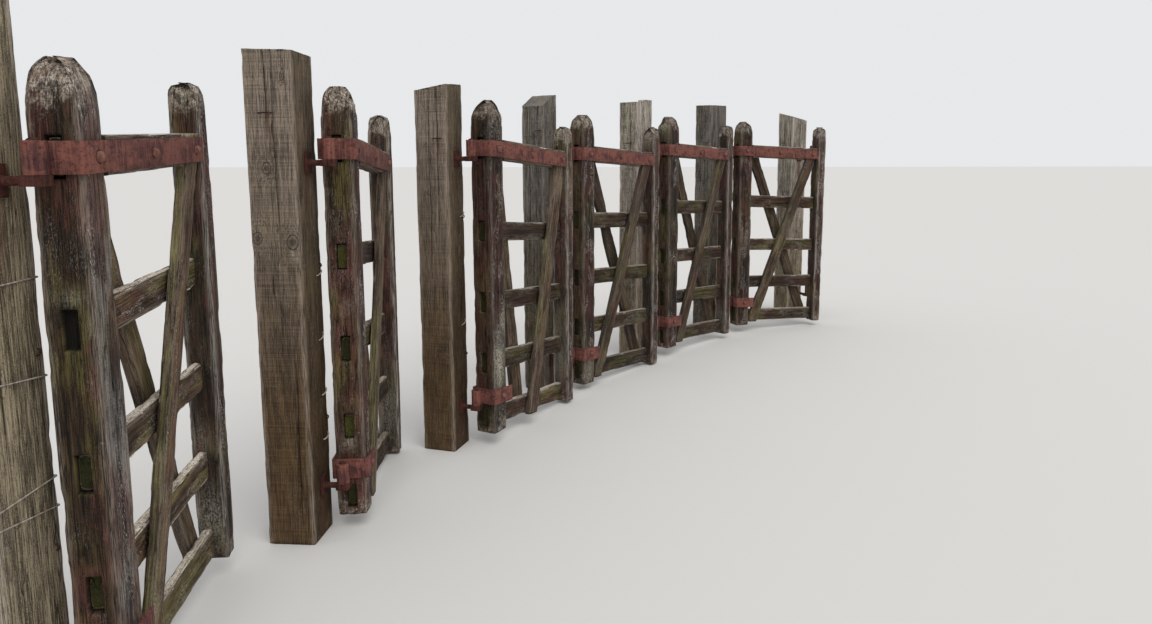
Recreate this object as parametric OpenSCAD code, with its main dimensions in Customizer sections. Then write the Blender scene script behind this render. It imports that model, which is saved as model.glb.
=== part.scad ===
// Row of timber gates hung on square posts: six bays and the end post.
// Millimetres, Z up. The origin is on the underside of the first post, at ground level.
// X runs along the row, square to the first post, and the hinges face -Y, the front of the row.

/* [Row] */
// Usual distance from one hinge pin to the next
bay = 1015; // [990:5:1150]
// Free gap from a gate's closing end to the next hinge pin in a usual bay, with the gate shut
end_gap = 160; // [140:1:200]
// Turn of the row towards the front at the second post, in degrees
turn_2 = 9; // [0:1:12]
// Turn at the third post
turn_3 = 2; // [0:1:12]
// Turn at the fourth post
turn_4 = 11; // [0:1:14]
// Turn at the fifth post
turn_5 = 3; // [0:1:12]
// Turn at the sixth post
turn_6 = 15; // [0:1:15]

/* [Gates at rest] */
// Swing of gate 1 from shut, in degrees, to the front if positive
swing_1 = -22; // [-28:1:80]
// Swing of gate 2
swing_2 = -28; // [-28:1:80]
// Swing of gate 3
swing_3 = 2; // [-24:1:80]
// Swing of gate 4
swing_4 = 2; // [-28:1:80]
// Swing of gate 5
swing_5 = 3; // [-24:1:80]
// Swing of gate 6
swing_6 = 14; // [-20:1:80]

/* [Posts] */
// Usual width of a square post
post_w = 175; // [150:1:200]
// Height of the tallest post above the ground
post_h = 1835; // [1700:5:2100]
// Worn flat along each upright edge of a post
post_arris = 7; // [2:1:15]

/* [Hooks] */
// Diameter of the hinge pin
pin_d = 28; // [20:1:32]
// Usual reach from the post's face to the axis of the pin
pin_reach = 106; // [104:1:130]
// Diameter of the arm that carries the pin
arm_d = 22; // [16:1:24]
// Thickness of the block under the pin
block_h = 24; // [20:1:32]
// Width of the hook's plate on the post
plate_w = 46; // [36:1:70]
// Height of the hook's plate
plate_h = 76; // [60:1:110]
// Thickness of the hook's plate
plate_t = 8; // [5:1:12]

/* [Straps] */
// Height of a strap
iron_h = 75; // [60:1:90]
// Thickness of the strap iron
iron_t = 9; // [6:1:12]
// Clearance of the eye round the pin, and above the block
eye_fit = 0.5; // [0.3:0.1:1]
// Length of the leaf on the back of the hanging stile
back_leaf = 92; // [60:1:105]
// Length of the bottom band's front leaf
band_leaf = 148; // [120:1:200]

/* [Gate] */
// Height of the middle of the top strap above the ground
strap_z = 1460; // [1420:5:1530]
// Height of the middle of the bottom band
band_z = 250; // [240:1:260]
// Height of the middle of the second rail
rail_2_z = 1065; // [1025:1:1105]
// Height of the middle of the third rail
rail_3_z = 717; // [680:1:750]
// Height of the middle of the fourth rail
rail_4_z = 413; // [385:1:440]
// Height of the middle of the bottom rail
rail_5_z = 138; // [136:1:146]
// From the pin's axis to the end face of the hanging stile
pin_gap = 42; // [40:1:50]
// From the pin's axis to the back face of the gate
pin_back = 40; // [36:1:50]

/* [Timber] */
// Width of the square hanging stile
stile_w = 118; // [100:1:122]
// Height of the hanging stile above the middle of the top strap
stile_head = 228; // [150:1:260]
// Ground clearance of the hanging stile
stile_foot = 58; // [50:1:70]
// Width of the closing stile along the gate
closing_w = 75; // [65:1:95]
// Thickness of the closing stile
closing_t = 105; // [95:1:120]
// Height of the tallest closing stile above the middle of the top strap
closing_head = 225; // [150:1:260]
// Depth of a rail
rail_h = 101; // [80:1:104]
// Thickness of a rail and of its tenons
rail_t = 40; // [30:1:48]
// Height of the top rail's upper edge above the strap
top_rail_lip = 14; // [2:1:20]
// Recess of a tenon's end from the outer face of its stile
tenon_recess = 4; // [1:1:12]
// Gap round a tenon in its mortise, and between a strap's end and the closing stile
joint_fit = 0.3; // [0.2:0.1:0.5]
// Width of a brace, measured level along the gate
brace_run = 95; // [70:1:110]

/* [Sag] */
// Fall of gate 1 from its hanging stile to its closing stile, negative where the end stands high
fall_1 = -27; // [-30:1:65]
// Fall of gate 2
fall_2 = 68; // [-30:1:70]
// Fall of gate 3
fall_3 = 70; // [-30:1:72]
// Fall of gate 4
fall_4 = 48; // [-30:1:50]
// Fall of gate 5
fall_5 = 42; // [-30:1:70]
// Fall of gate 6
fall_6 = 37; // [-30:1:70]

/* [Hidden] */
$fn = 48;
BAYS = 6;
POSTS = BAYS + 1;
// Turn of the row at each hinge pin, then the twist of each post from the line of its own gate
turns = [0, turn_2, turn_3, turn_4, turn_5, turn_6, 0];
twists = [5, 20, 9, 7, -2, -1, -5];
swings = [swing_1, swing_2, swing_3, swing_4, swing_5, swing_6];
falls = [fall_1, fall_2, fall_3, fall_4, fall_5, fall_6];
// How much longer than usual each bay is, and how high each pair of hooks stands against the usual
bay_extras = [114, -55, 6, -14, 16, -28];
hook_rises = [-30, -3, 6, -20, 5, 0, 0];
// How much wider than usual each post is, and how much further its hooks reach
post_extras = [0, 5, -5, -20, -8, 3, 0];
reach_extras = [0, -25, -26, 20, -2, 34, 34];
// How far each post stands lower than the tallest one, and the tilt of its sawn top about X and Y
post_short = [0, 39, 84, 46, 22, 9, 75];
top_tilts = [[2, -3], [2, 1], [-9, -3], [0, -1], [1, 0], [2, 0], [12, 11]];
// Chamfer over the near side of the fourth post's top, and the broken step round the fifth's last quarter
CHAMFERED = 4;
STEPPED = 5;
chamfer_run = 125;
chamfer_rise = 72;
step_depth = 18;
step_at = [0, -0.1];

// Outlines cut past a face by this much, so that no skin is left
cut = 1;
arm_flare = 8;
arm_flare_len = 16;
dome_rise = 7;
// Inset of the block's sides from the eye's
block_inset = 1;
// Half width of the neck between an eye and its strap
neck = 14;
// Taper of the hanging stile's head in two slopes, and the bevel round the closing stile's head
head_taper = 78;
head_flat = 0.5;
head_break = [0.28, 0.6];
closing_bevel = 14;
closing_round = 40;
// How far the closing stile runs below the bottom rail
closing_stub = 12;
// How much shorter each closing stile's head is than the tallest
closing_short = [15, 0, 35, 5, 0, 0];
// Where each gate's front and back brace stand on the bottom rail, as a share of the way to the closing stile
brace_feet = [[0, 1], [0, 1], [0.42, 0.36], [0, 1], [0, 1], [0, 1]];
// A brace is drawn past both its ends by this part of its length, then cut to the rails and stiles
brace_past = 0.2;

eye_d = pin_d + 2 * (eye_fit + iron_t);
block_w = eye_d - 2 * block_inset;
gate_len = bay - pin_gap - end_gap;
front_y = pin_back - stile_w;
stile_x = pin_gap + stile_w;
closing_x = pin_gap + gate_len - closing_w;
closing_front = front_y - iron_t;
rail_y = (front_y + pin_back - rail_t) / 2;
brace_t = rail_y - front_y;
back_brace_y = rail_y + rail_t;
back_brace_t = pin_back - back_brace_y;
brace_near = stile_x + brace_run / 2;
brace_far = closing_x - brace_run / 2;
top_rail_high = strap_z + iron_h / 2 + top_rail_lip;
top_rail_low = top_rail_high - rail_h;
tenon_x0 = pin_gap + tenon_recess;
tenon_x1 = pin_gap + gate_len - tenon_recess;
lower_rails = [rail_2_z, rail_3_z, rail_4_z, rail_5_z];
rail_5_low = rail_5_z - rail_h / 2;

function total(v, n) = n < 1 ? 0 : v[n - 1] + total(v, n - 1);
// Direction of the line from pin k to the next one, and of post k's front face
function line_dir(k) = -twists[0] - total(turns, k);
function post_dir(k) = line_dir(k) + twists[k - 1];
function gate_dir(k) = line_dir(k) - swings[k - 1];
function width(k) = post_w + post_extras[k - 1];
function reach(k) = pin_reach + reach_extras[k - 1];
function pin_at(k) = k == 1
    ? [0, -reach(1) - width(1) / 2, 0]
    : pin_at(k - 1) + (bay + bay_extras[k - 2]) * [cos(line_dir(k - 1)), sin(line_dir(k - 1)), 0];
// Change of level at x along gate k
function level(k, x) = -falls[k - 1] * (x - pin_gap) / gate_len;
// Four corners of a bar that follows the fall of gate k
function bar(k, x0, x1, low, high) = [
    [x0, low + level(k, x0)],
    [x1, low + level(k, x1)],
    [x1, high + level(k, x1)],
    [x0, high + level(k, x0)]];
// Four corners of a brace whose middle runs from (x0, rail 5) to (x1, strap), drawn past both ends
function brace_line(k, x0, x1, run) = [
    for (end = [[-brace_past, -1], [-brace_past, 1], [1 + brace_past, 1], [1 + brace_past, -1]])
        let (x = x0 + end[0] * (x1 - x0), z = rail_5_z + end[0] * (strap_z - rail_5_z))
            [x + end[1] * run / 2, z + level(k, x)]];

// Frames: post k and gate k both stand at pin k
module at_post(k) {
    translate(pin_at(k)) rotate(post_dir(k)) children();
}

module at_gate(k) {
    translate(pin_at(k) + [0, 0, hook_rises[k - 1]]) rotate(gate_dir(k)) children();
}

// An outline in X and Z, given the thickness t from y
module upright(y, t, points) {
    translate([0, y + t, 0]) rotate([90, 0, 0]) linear_extrude(t) polygon(points);
}

module post_section(w) {
    half = w / 2;
    low = half - post_arris;
    polygon([[-half, -low], [-low, -half], [low, -half], [half, -low],
             [half, low], [low, half], [-low, half], [-half, low]]);
}

module post(k) {
    h = post_h - post_short[k - 1];
    w = width(k);
    tilt = top_tilts[k - 1];
    color(k < 4 ? "#7d7064" : "#6b655d")
    at_post(k) translate([0, reach(k) + w / 2, 0]) difference() {
        linear_extrude(post_h + w) post_section(w);
        // Sawn top
        translate([0, 0, h]) rotate([tilt[0], tilt[1], 0])
            translate([-w, -w, 0]) cube([2 * w, 2 * w, post_h]);
        if (k == CHAMFERED) chamfer_cut(w, h);
        if (k == STEPPED) step_cut(w, h);
    }
}

// Sloping cut that leaves a post's near edge low
module chamfer_cut(w, h) {
    upright(-w, 2 * w,
        [[-w, h + chamfer_rise], [-w, h - chamfer_rise], [-w / 2, h - chamfer_rise],
         [chamfer_run - w / 2, h], [chamfer_run - w / 2, h + chamfer_rise]]);
}

// Pieces broken from a post's top, all but the quarter towards the front and the next post
module step_cut(w, h) {
    translate([-w, -w, h - step_depth]) cube([w * (1 + step_at[0]), 2 * w, step_depth + w]);
    translate([-w, w * step_at[1], h - step_depth]) cube([2 * w, w, step_depth + w]);
}

// One hook: plate, arm, block and pin, with the strap's middle at z and the pin at this reach
module hook(z, out) {
    top = z - iron_h / 2 - eye_fit;
    arm_z = top - block_h / 2;
    translate([-plate_w / 2, out - plate_t, arm_z - plate_h / 2]) cube([plate_w, plate_t, plate_h]);
    translate([0, 0, arm_z]) rotate([-90, 0, 0]) cylinder(d = arm_d, h = out - plate_t / 2);
    translate([0, out - plate_t - arm_flare_len, arm_z]) rotate([-90, 0, 0])
        cylinder(d1 = arm_d, d2 = arm_d + arm_flare, h = arm_flare_len + plate_t / 2);
    translate([-block_w / 2, -block_w / 2, top - block_h]) cube([block_w, block_w, block_h]);
    translate([0, 0, top - block_h / 2])
        cylinder(d = pin_d, h = block_h / 2 + iron_h + 2 * eye_fit);
    // Domed end of the pin, just above the eye
    translate([0, 0, top + iron_h + 2 * eye_fit]) pin_dome();
}

module pin_dome() {
    radius = (pow(pin_d / 2, 2) + pow(dome_rise, 2)) / (2 * dome_rise);
    rotate_extrude() intersection() {
        translate([0, dome_rise - radius]) circle(r = radius);
        square([pin_d / 2, dome_rise]);
    }
}

module hooks(k) {
    color("#7e3b30") at_post(k) translate([0, 0, hook_rises[k - 1]]) {
        hook(strap_z, reach(k));
        hook(band_z, reach(k));
    }
}

// The mortises that gate k's rails need, drawn a fit larger than the tenons
module mortises(k) {
    y = rail_y - joint_fit;
    t = rail_t + 2 * joint_fit;
    x0 = pin_gap - cut;
    x1 = pin_gap + gate_len + cut;
    upright(y, t, bar(k, x0, x1, top_rail_low - joint_fit, top_rail_high + joint_fit));
    for (z = lower_rails)
        upright(y, t, bar(k, x0, x1, z - rail_h / 2 - joint_fit, z + rail_h / 2 + joint_fit));
}

// Square stile with a head tapered on four sides
module hanging_stile(k) {
    top = strap_z + stile_head;
    shoulder = top - head_taper;
    inset = stile_w * (1 - head_flat) / 2;
    middle_x = pin_gap + stile_w / 2;
    break_x = stile_w / 2 - inset * head_break[0];
    break_z = shoulder + head_taper * head_break[1];
    outline = [[-stile_w / 2, stile_foot], [stile_w / 2, stile_foot], [stile_w / 2, shoulder],
               [break_x, break_z], [stile_w / 2 - inset, top], [inset - stile_w / 2, top],
               [-break_x, break_z], [-stile_w / 2, shoulder]];
    color("#5a4c42") at_gate(k) difference() {
        translate([middle_x, front_y + stile_w / 2, 0]) intersection() {
            upright(-stile_w / 2, stile_w, outline);
            rotate(90) upright(-stile_w / 2, stile_w, outline);
        }
        mortises(k);
    }
}

// Closing stile: its head is rounded from back to front and bevelled along the gate
module closing_stile(k) {
    middle_x = closing_x + closing_w / 2;
    drop = level(k, middle_x);
    foot = rail_5_low - closing_stub;
    top = strap_z + closing_head - closing_short[k - 1];
    half_w = closing_w / 2;
    half_t = closing_t / 2;
    color("#65574b") at_gate(k) difference() {
        translate([middle_x, closing_front + half_t, drop]) intersection() {
            upright(-half_t, closing_t,
                [[-half_w, foot], [half_w, foot], [half_w, top - closing_bevel],
                 [half_w - closing_bevel, top], [closing_bevel - half_w, top],
                 [-half_w, top - closing_bevel]]);
            rotate([90, 0, 90]) translate([0, 0, -half_w]) linear_extrude(closing_w) {
                translate([-half_t, foot]) square([closing_t, top - foot - closing_round]);
                translate([closing_round - half_t, foot])
                    square([closing_t - 2 * closing_round, top - foot]);
                for (side = [-1, 1])
                    translate([side * (half_t - closing_round), top - closing_round])
                        circle(r = closing_round);
            }
        }
        mortises(k);
    }
}

// Middle of a brace at its foot, a share of the way from the hanging stile, and at its head
function foot_x(k, side) = brace_near + brace_feet[k - 1][side] * (brace_far - brace_near);

// Five rails, tenoned through both stiles. The top one is thicker and notched for the front brace
module rails(k) {
    color("#6a5a4c") at_gate(k) {
        difference() {
            union() {
                upright(rail_y, rail_t, bar(k, tenon_x0, tenon_x1, top_rail_low, top_rail_high));
                upright(front_y, brace_t + rail_t / 2,
                    bar(k, stile_x, closing_x, top_rail_low, top_rail_high));
            }
            notch_run = brace_run + 2 * joint_fit;
            upright(front_y - cut, brace_t + cut,
                brace_line(k, foot_x(k, 0), brace_far, notch_run));
        }
        for (z = lower_rails)
            upright(rail_y, rail_t, bar(k, tenon_x0, tenon_x1, z - rail_h / 2, z + rail_h / 2));
    }
}

// One brace rises to the closing stile in front of the rails, one falls to it behind them
module braces(k) {
    color("#5d4f43") at_gate(k) {
        intersection() {
            upright(front_y, brace_t, brace_line(k, foot_x(k, 0), brace_far, brace_run));
            upright(front_y, brace_t, bar(k, stile_x, closing_x, rail_5_low, top_rail_high));
        }
        intersection() {
            upright(back_brace_y, back_brace_t, brace_line(k, foot_x(k, 1), brace_near, brace_run));
            upright(back_brace_y, back_brace_t, bar(k, stile_x, closing_x, rail_5_low, top_rail_high));
        }
    }
}

// Plan of a strap's bend round the stile's end, with its eye and its back leaf
module bend_plan() {
    difference() {
        union() {
            circle(d = eye_d);
            translate([0, -neck]) square([pin_gap - iron_t + cut, 2 * neck]);
            translate([pin_gap - iron_t, front_y]) square([iron_t, stile_w]);
            translate([pin_gap, pin_back]) square([back_leaf, iron_t]);
            for (y = [front_y, pin_back]) translate([pin_gap, y]) circle(r = iron_t);
        }
        circle(d = pin_d + 2 * eye_fit);
        translate([pin_gap, front_y]) square(stile_w);
    }
}

module strap(k, z, leaf_end) {
    translate([0, 0, z - iron_h / 2]) linear_extrude(iron_h) bend_plan();
    upright(closing_front, iron_t, bar(k, pin_gap, leaf_end, z - iron_h / 2, z + iron_h / 2));
}

module irons(k) {
    color("#6d3229") at_gate(k) {
        strap(k, strap_z, closing_x - joint_fit);
        strap(k, band_z, pin_gap + band_leaf);
    }
}

for (k = [1:POSTS]) {
    post(k);
    hooks(k);
}
for (k = [1:BAYS]) {
    hanging_stile(k);
    closing_stile(k);
    rails(k);
    braces(k);
    irons(k);
}
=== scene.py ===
"""Dresses a row of timber gates: worn timbers, rusted ironwork, bolts and fence staples."""
import math

import bmesh
import bpy
import numpy as np
from bpy.props import FloatProperty, FloatVectorProperty, PointerProperty
from mathutils import Matrix, Vector


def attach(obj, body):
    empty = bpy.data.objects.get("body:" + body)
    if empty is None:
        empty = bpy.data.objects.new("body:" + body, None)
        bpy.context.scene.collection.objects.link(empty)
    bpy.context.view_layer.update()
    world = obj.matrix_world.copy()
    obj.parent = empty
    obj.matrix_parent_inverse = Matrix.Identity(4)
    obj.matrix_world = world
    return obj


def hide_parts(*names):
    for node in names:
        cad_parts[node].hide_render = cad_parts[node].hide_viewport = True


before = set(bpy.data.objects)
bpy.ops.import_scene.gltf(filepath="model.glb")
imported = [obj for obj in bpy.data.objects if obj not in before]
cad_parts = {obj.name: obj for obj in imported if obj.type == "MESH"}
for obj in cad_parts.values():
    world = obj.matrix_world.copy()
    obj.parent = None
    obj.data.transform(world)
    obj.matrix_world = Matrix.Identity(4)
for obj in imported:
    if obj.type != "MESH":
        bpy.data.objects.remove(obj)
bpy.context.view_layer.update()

bl_info = {
    "name": "Weathered Gate Row",
    "version": (1, 0, 0),
    "blender": (4, 5, 0),
    "location": "3D View > Sidebar > Gate Row",
    "description": "Worn timbers, rusted straps and fastenings for a row of post-hung gates",
    "category": "Object",
}

BAYS = 6
POSTS = BAYS + 1

# The row's layout at rest, as in the part's source, in degrees and metres
TURNS = [0, 9, 2, 11, 3, 15, 0]
TWISTS = [5, 20, 9, 7, -2, -1, -5]
SWINGS = [-22, -28, 2, 2, 3, 14]
FALLS = [-0.027, 0.068, 0.070, 0.048, 0.042, 0.037]
BAY_EXTRAS = [0.114, -0.055, 0.006, -0.014, 0.016, -0.028]
HOOK_RISES = [-0.030, -0.003, 0.006, -0.020, 0.005, 0, 0]
POST_EXTRAS = [0, 0.005, -0.005, -0.020, -0.008, 0.003, 0]
REACH_EXTRAS = [0, -0.025, -0.026, 0.020, -0.002, 0.034, 0.034]
POST_SHORT = [0, 0.039, 0.084, 0.046, 0.022, 0.009, 0.075]
TOP_TILTS = [(2, -3), (2, 1), (-9, -3), (0, -1), (1, 0), (2, 0), (12, 11)]
BAY, END_GAP = 1.015, 0.160
POST_W, POST_H, POST_ARRIS = 0.175, 1.835, 0.007
CHAMFERED, STEPPED = 4, 5
CHAMFER_RUN, CHAMFER_RISE, STEP_DEPTH, STEP_AT = 0.125, 0.072, 0.018, (0, -0.1)
PIN_REACH, PIN_GAP, PIN_BACK, PLATE_DROP = 0.106, 0.042, 0.040, 0.066
STRAP_Z, BAND_Z, IRON_H, IRON_T = 1.460, 0.250, 0.075, 0.009
LOWER_RAILS = [1.065, 0.717, 0.413, 0.138]
STILE_W, STILE_HEAD, STILE_FOOT, HEAD_TAPER, HEAD_FLAT = 0.118, 0.228, 0.058, 0.078, 0.5
HEAD_BREAK = (0.28, 0.6)
CLOSING_W, CLOSING_T, CLOSING_HEAD, CLOSING_ROUND, CLOSING_STUB = 0.075, 0.105, 0.225, 0.040, 0.012
CLOSING_SHORT = [0.015, 0, 0.035, 0.005, 0, 0]
BRACE_FEET = [(0, 1), (0, 1), (0.42, 0.36), (0, 1), (0, 1), (0, 1)]
RAIL_H, RAIL_T, TOP_LIP, TENON_RECESS, BRACE_RUN = 0.101, 0.040, 0.014, 0.004, 0.095
GATE_LEN = BAY - PIN_GAP - END_GAP
GATE_END = PIN_GAP + GATE_LEN
FRONT_Y = PIN_BACK - STILE_W
STILE_X = PIN_GAP + STILE_W
STILE_MID_X, STILE_MID_Y = PIN_GAP + STILE_W / 2, FRONT_Y + STILE_W / 2
CLOSING_X = GATE_END - CLOSING_W
CLOSING_FRONT = FRONT_Y - IRON_T
CLOSING_MID_X, CLOSING_MID_Y = CLOSING_X + CLOSING_W / 2, CLOSING_FRONT + CLOSING_T / 2
RAIL_Y = (FRONT_Y + PIN_BACK - RAIL_T) / 2
RAIL_MID, RAIL_BACK = RAIL_Y + RAIL_T / 2, RAIL_Y + RAIL_T
TOP_RAIL = STRAP_Z + IRON_H / 2 + TOP_LIP - RAIL_H / 2
RAILS = [TOP_RAIL] + LOWER_RAILS

# A timber's faces seen along it: the way each looks and the way across it
FRONT, RIGHT, BACK, LEFT = range(4)
OUTWARD = np.array([(0, -1), (1, 0), (0, 1), (-1, 0)])
ACROSS = np.array([(1, 0), (0, 1), (-1, 0), (0, -1)])
SPLIT_HALF, SPLIT_WANDER, SPLIT_RUN, MORTISE_RIM, WEAR_REACH = 0.0030, 0.006, (1, 1, 0.18), 0.0008, 0.009
END_CUT, END_CRUST = 0.0012, 0.002
# Sizes of the lumps that the weather leaves, by the width, the depth and the length of a timber
RIPPLE_LUMPS, WAVE_LUMPS, BITE_LUMPS = (0.011, 0.011, 0.24), (0.09, 0.09, 0.45), (0.05, 0.05, 0.075)
CRUST_LUMPS, BREAK_LUMPS = (0.022, 0.022, 0.030), (0.055, 0.055, 0.045)
# How each kind of timber wears: shares of the grain's relief and of the chips' depth, and its waves' depth
WEAR = {"post": (1, 0.6, 0.0015), "hanging": (1.3, 1, 0.003), "closing": (1.3, 1.1, 0.003),
        "rail": (1, 1.3, 0.0035), "filler": (1, 0.5, 0.001), "brace": (1, 1.3, 0.004)}

# Splits in each post: face, place across, from and to height, share of the full depth
POST_SPLITS = [
    [(LEFT, 0.020, 0.2, 1.5, 1), (FRONT, -0.030, 0.1, 1.2, 1)],
    [(LEFT, 0.012, 1.18, 1.79, 1), (LEFT, -0.010, 1.56, 1.79, 0.7), (LEFT, 0.050, 0.12, 0.70, 0.6),
     (FRONT, -0.024, 1.50, 1.79, 1), (FRONT, 0.030, 0.15, 1.20, 1)],
    [(LEFT, -0.012, 0.9, 1.74, 0.6), (LEFT, 0.030, 1.1, 1.74, 0.6), (FRONT, 0.020, 0.2, 1.6, 1)],
    [(LEFT, -0.020, 0.8, 1.70, 1), (FRONT, 0.030, 0.2, 1.5, 1)],
    [(LEFT, 0.015, 1.3, 1.79, 0.8), (FRONT, -0.030, 0.9, 1.78, 1)],
    [(LEFT, 0.030, 0.6, 1.80, 1), (LEFT, -0.020, 1.0, 1.80, 0.7), (FRONT, -0.040, 0.3, 1.7, 1)],
    [(LEFT, -0.010, 0.4, 1.72, 1), (FRONT, 0.000, 0.7, 1.70, 1)],
]
# Knots: face, place across, height, size
POST_KNOTS = [
    [(LEFT, 0.02, 1.30, 0.020)],
    [(LEFT, 0.018, 1.390, 0.017), (LEFT, 0.064, 1.144, 0.018), (LEFT, -0.062, 1.130, 0.022),
     (LEFT, -0.054, 1.700, 0.009), (LEFT, -0.030, 1.060, 0.004), (FRONT, 0.03, 0.9, 0.018)],
    [(LEFT, 0.020, 1.260, 0.010), (LEFT, -0.030, 0.52, 0.016)],
    [(LEFT, 0.03, 1.42, 0.012)],
    [(LEFT, 0.02, 1.3, 0.012)],
    [(LEFT, -0.02, 1.2, 0.015)],
    [(LEFT, 0.02, 1.5, 0.012)],
]
# Patches of lichen: face, place across, height, half sizes, strength
RESIN_DRIP = (LEFT, -0.062, 1.090, 0.004, 0.022, 1.0)
HANGING_BLOOMS = [
    [(LEFT, -0.01, 1.14, 0.030, 0.02, 0.18)],
    [(LEFT, 0.0, 0.35, 0.025, 0.03, 0.3), (LEFT, -0.02, 0.88, 0.03, 0.03, 0.15)],
    [(FRONT, -0.01, 0.40, 0.040, 0.14, 1.0), (FRONT, 0.03, 0.60, 0.03, 0.06, 0.6)],
    [(FRONT, 0.0, 0.16, 0.05, 0.08, 0.5)],
    [(LEFT, 0.0, 1.62, 0.05, 0.05, 0.5)],
    [],
]
CLOSING_BLOOMS = [
    [(LEFT, 0.0, 0.22, 0.06, 0.10, 0.5), (LEFT, 0.02, 0.50, 0.03, 0.06, 0.25)],
    [(LEFT, 0.0, 0.30, 0.05, 0.14, 0.3)],
    [(LEFT, 0.0, 0.35, 0.05, 0.20, 0.25)],
    [(LEFT, 0.0, 1.60, 0.05, 0.08, 0.3)],
    [(LEFT, 0.0, 0.2, 0.05, 0.10, 0.3)],
    [],
]
# The pale rails' patch, and which they are, by gate and from the top
RAIL_BLOOM, PALE_RAILS = (FRONT, 0.0, 0.55, 0.30, 0.30, 0.9), ((4, 4), (5, 4), (4, 3))
# Rust from a hook's plate and from a staple: place across and height from it, half sizes, strength
PLATE_STAINS = ((-0.004, -0.085, 0.022, 0.11, 0.85), (0.0, 0.0, 0.034, 0.05, 0.8))
STAPLE_STAIN = (-0.010, -0.035, 0.010, 0.045, 0.7)
# How light each timber is, from 0 to 1
POST_TONES = [0.60, 0.5, 0.46, 0.30, 1.0, 0.22, 0.82]
HANGING_TONES = [0.75, 0.85, 0.50, 0.55, 0.55, 0.50]
CLOSING_TONES = [0.50, 0.62, 0.62, 0.55, 0.52, 0.58]
# The back brace is darker by a share: painted shade behind the rails
BRACE_TONES, BACK_BRACE_SHADE = [0.80, 0.65, 0.65, 0.32, 0.35, 0.42], 0.15
FILLER_TONE = 0.9
# Shares that darken or lighten each rail's end in its mortise, by gate and from the top: a darker end is painted shade
# in the hollow, a lighter one its own colour
TENON_SHADES = {1: (0.3, 0.2, 0.2, 0.25, 0.3), 2: (0.4, 1.3, 0.4, 0.9, 0.6)}

# Bolts along a gate, and the gates where one is missing and one too many
STRAP_BOLTS, SPARE_BOLT_X, MISSING_BOLT, SPARE_BOLT = (0.408, 0.721), 0.570, 2, 3
# Widths and rises of the fastenings that have no size in the panel
HOLE_SHADE_SIZE, SQUARE_SIZE, SPARE_SIZE, EDGE_STAPLE = (0.015, 0.0016), (0.020, 0.009), (0.014, 0.006), (0.016, 0.010)
# The dark ring under each bolt head, a painted shadow, is wider than the head by a rim
SHADOW_RING_RIM, SHADOW_RING_RISE, NUT_RISE, STAPLE_RISE, BENT_SHARE, BENT_RISE = 0.006, 0.0012, 0.007, 0.015, 0.9, 0.010
# Ironwork: how near points merge, and the angles in degrees of edges that stay sharp
MERGE, SHARP_IRON, SHARP_BOLT = 1e-5, 35, 40
# Staples on the posts' left faces: how far across from the middle, as a share, and the height
STAPLES = {2: (0.08, 1.580), 3: (-0.18, 1.510), 4: (-0.26, 1.574), 5: (0.0, 1.511), 6: (-0.18, 1.525)}
# Heights of the bent wire ends on the posts' fronts
WIRE_ENDS = {2: (1.0, 0.76, 0.545, 0.37), 3: (1.15, 0.62)}
# Turns of wire round the first post: height, rise along x and rise along y
WIRE_TURNS, TURN_WIRE = ((1.150, 0.05, 0.02), (0.930, -0.08, 0.10), (0.640, 0.15, -0.12), (0.600, -0.06, 0.08)), 0.004

# The picture, in pixels, and the camera's place from the first hinge pin and its turns in degrees
IMAGE_W, IMAGE_H, FOCAL_LENGTH, LEVEL_ROW, SENSOR = 1152, 624, 772, 256.8, 36.0
EYE, PITCH_YAW_ROLL = (-1.459, -1.454, 1.432), (7.52, 10.09, -0.21)
FLOOR_PAINT, DAYLIGHT_TINT, BACKDROP = (0.66, 0.65, 0.63, 1), (0.97, 0.98, 1.0, 1), (0.80, 0.81, 0.82, 1)
LAMP_FROM, LAMP_SPREAD, LAMP_TINT = (-0.60, -0.45, 1.0), 50, (1.0, 0.98, 0.95)


# Places

def post_width(k):
    return POST_W + POST_EXTRAS[k - 1]


def hook_reach(k):
    return PIN_REACH + REACH_EXTRAS[k - 1]


def line_dir(k):
    return -TWISTS[0] - sum(TURNS[:k])


def pin_at(k):
    """Where hinge pin k stands in the row."""
    x, y = 0.0, -hook_reach(1) - post_width(1) / 2
    for j in range(1, k):
        step, turn = BAY + BAY_EXTRAS[j - 1], math.radians(line_dir(j))
        x, y = x + step * math.cos(turn), y + step * math.sin(turn)
    return x, y


def placer(k, degrees, rise=0.0):
    """A function that moves points from a gate's or post's own frame into the row's."""
    turn = math.radians(degrees)
    c, s = math.cos(turn), math.sin(turn)
    x0, y0 = pin_at(k)

    def place(p):
        p = np.asarray(p, float)
        return np.stack([x0 + c * p[..., 0] - s * p[..., 1], y0 + s * p[..., 0] + c * p[..., 1],
                         p[..., 2] + rise], -1)
    return place


def post_place(k):
    return placer(k, line_dir(k) + TWISTS[k - 1])


def gate_place(k):
    return placer(k, line_dir(k) - SWINGS[k - 1], HOOK_RISES[k - 1])


def level(k, x):
    """Change of height at x along gate k, which sags from its hinges."""
    return -FALLS[k - 1] * (x - PIN_GAP) / GATE_LEN


# Noise on numpy arrays

def blend_noise(p, seed):
    """Smooth noise from -1 to 1 at points p, from an integer hash of each cell's corners."""
    cell = np.floor(p)
    f = p - cell
    f = f * f * (3 - 2 * f)
    cell = cell.astype(np.int64)
    total = np.zeros(p.shape[:-1])
    for corner in range(8):
        bits = np.array([corner & 1, corner >> 1 & 1, corner >> 2 & 1])
        q = cell + bits
        h = (q[..., 0] * 73856093) ^ (q[..., 1] * 19349663) ^ (q[..., 2] * 83492791) ^ (seed * 40503 + 977)
        h &= 0xFFFFFFFF
        h = ((h ^ (h >> 15)) * 2246822519) & 0xFFFFFFFF
        h = ((h ^ (h >> 13)) * 3266489917) & 0xFFFFFFFF
        h ^= h >> 16
        weight = np.prod(np.where(bits == 1, f, 1 - f), -1)
        total += weight * (h / 2147483648.0 - 1)
    return total


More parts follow.
